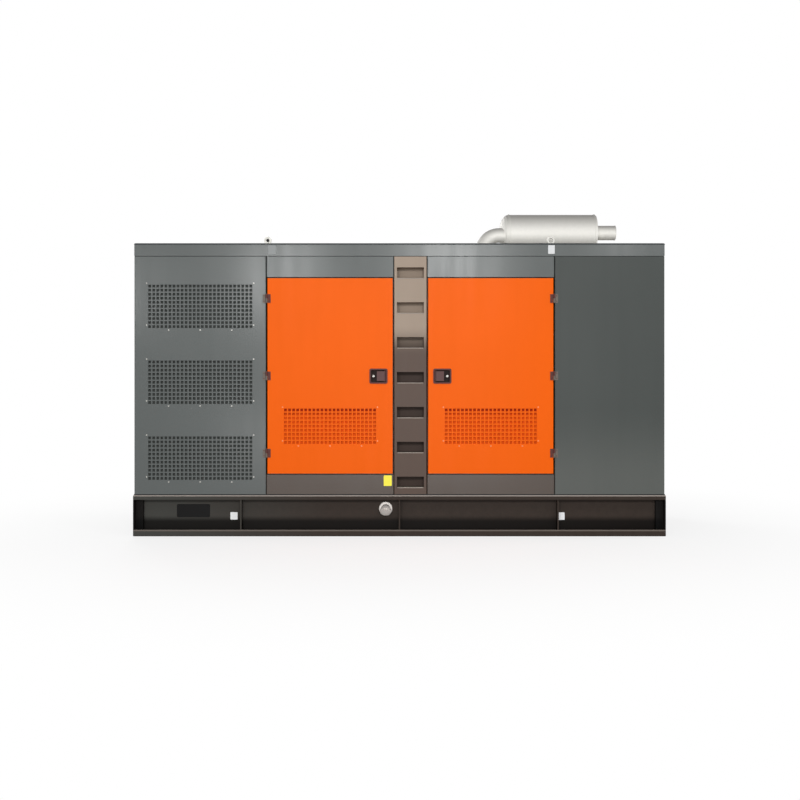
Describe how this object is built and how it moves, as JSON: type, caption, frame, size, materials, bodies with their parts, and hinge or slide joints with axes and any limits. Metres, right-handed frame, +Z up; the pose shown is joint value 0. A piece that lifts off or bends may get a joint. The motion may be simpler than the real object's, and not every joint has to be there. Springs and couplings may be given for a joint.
{
  "type": "natural gas generator set",
  "caption": "Silenced gas generator set: skid base, grey sheet-metal canopy with orange hinged doors, punched air grilles, ladder pockets and a roof silencer.",
  "frame": {"origin": "centre of the whole object's box at the underside of the base", "axes": "+X to the right along the length as seen from the front, +Y to the rear, +Z up; the front with the hinged doors faces -Y"},
  "size_m": [3.816, 1.436, 2.4169],
  "materials": {
    "canopy_paint": "grey powder coat, satin",
    "door_paint": "orange powder coat, satin",
    "base_paint": "black-brown chassis paint, semi-gloss",
    "dark_zinc": "dark powder-coated die-cast zinc",
    "zinc_steel": "zinc-plated steel",
    "galvanised_iron": "hot-dip galvanised malleable iron",
    "aluminised_steel": "aluminised sheet steel",
    "machine_paint": "grey machine enamel",
    "radiator_black": "matt black paint"
  },
  "bodies": {
    "root": {"front_rail": "base_paint", "rear_rail": "base_paint", "end_beams": "base_paint", "corner_posts": "base_paint", "rail_gussets": "base_paint", "deck_plate": "base_paint", "gas_inlet": "galvanised_iron", "front_inlet_panel": "canopy_paint", "front_plain_panel": "canopy_paint", "front_door_frames": "canopy_paint", "ladder_column": "canopy_paint", "foot_pockets": "canopy_paint", "rear_inlet_panel": "canopy_paint", "rear_plain_panel": "canopy_paint", "rear_door_frames": "canopy_paint", "rear_column": "canopy_paint", "left_end_wall": "canopy_paint", "right_end_wall": "canopy_paint", "roof": "canopy_paint", "front_mesh_top": "canopy_paint", "front_mesh_middle": "canopy_paint", "front_mesh_bottom": "canopy_paint", "rear_mesh_top": "canopy_paint", "rear_mesh_middle": "canopy_paint", "rear_mesh_bottom": "canopy_paint", "outlet_mesh": "canopy_paint", "rear_door_grilles": "door_paint", "air_baffles": "canopy_paint", "frame_hinges": "dark_zinc", "rear_doors": "door_paint", "rear_latches": "dark_zinc", "rear_hinges": "dark_zinc", "lifting_eyes": "zinc_steel", "muffler_shell": "aluminised_steel", "muffler_heads": "aluminised_steel", "exhaust_elbow": "aluminised_steel", "tail_pipe": "aluminised_steel", "muffler_saddles": "zinc_steel", "engine": "machine_paint", "alternator": "machine_paint", "cooling_fan": "radiator_black", "radiator": "radiator_black"},
    "left_door": {"left_door": "door_paint", "left_door_grille": "door_paint", "left_door_baffle": "door_paint", "left_latch": "dark_zinc", "left_door_hinges": "dark_zinc"},
    "left_paddle": {"left_paddle": "dark_zinc"},
    "right_door": {"right_door": "door_paint", "right_door_grille": "door_paint", "right_door_baffle": "door_paint", "right_latch": "dark_zinc", "right_door_hinges": "dark_zinc"},
    "right_paddle": {"right_paddle": "dark_zinc"}
  },
  "joints": [
    {"name": "left_door_hinge", "type": "hinge", "parent": "root", "child": "left_door", "pos_m": [-0.951, -0.71, 1.15], "axis": [0, 0, -1], "range_deg": [0, 120]},
    {"name": "left_paddle_pivot", "type": "hinge", "parent": "left_door", "child": "left_paddle", "pos_m": [-0.104, -0.701, 1.148], "axis": [0, 0, 1], "range_deg": [0, 40], "stiffness_Nm_per_rad": 1.5},
    {"name": "right_door_hinge", "type": "hinge", "parent": "root", "child": "right_door", "pos_m": [1.108, -0.71, 1.15], "axis": [0, 0, 1], "range_deg": [0, 120]},
    {"name": "right_paddle_pivot", "type": "hinge", "parent": "right_door", "child": "right_paddle", "pos_m": [0.261, -0.701, 1.148], "axis": [0, 0, -1], "range_deg": [0, 40], "stiffness_Nm_per_rad": 1.5}
  ]
}
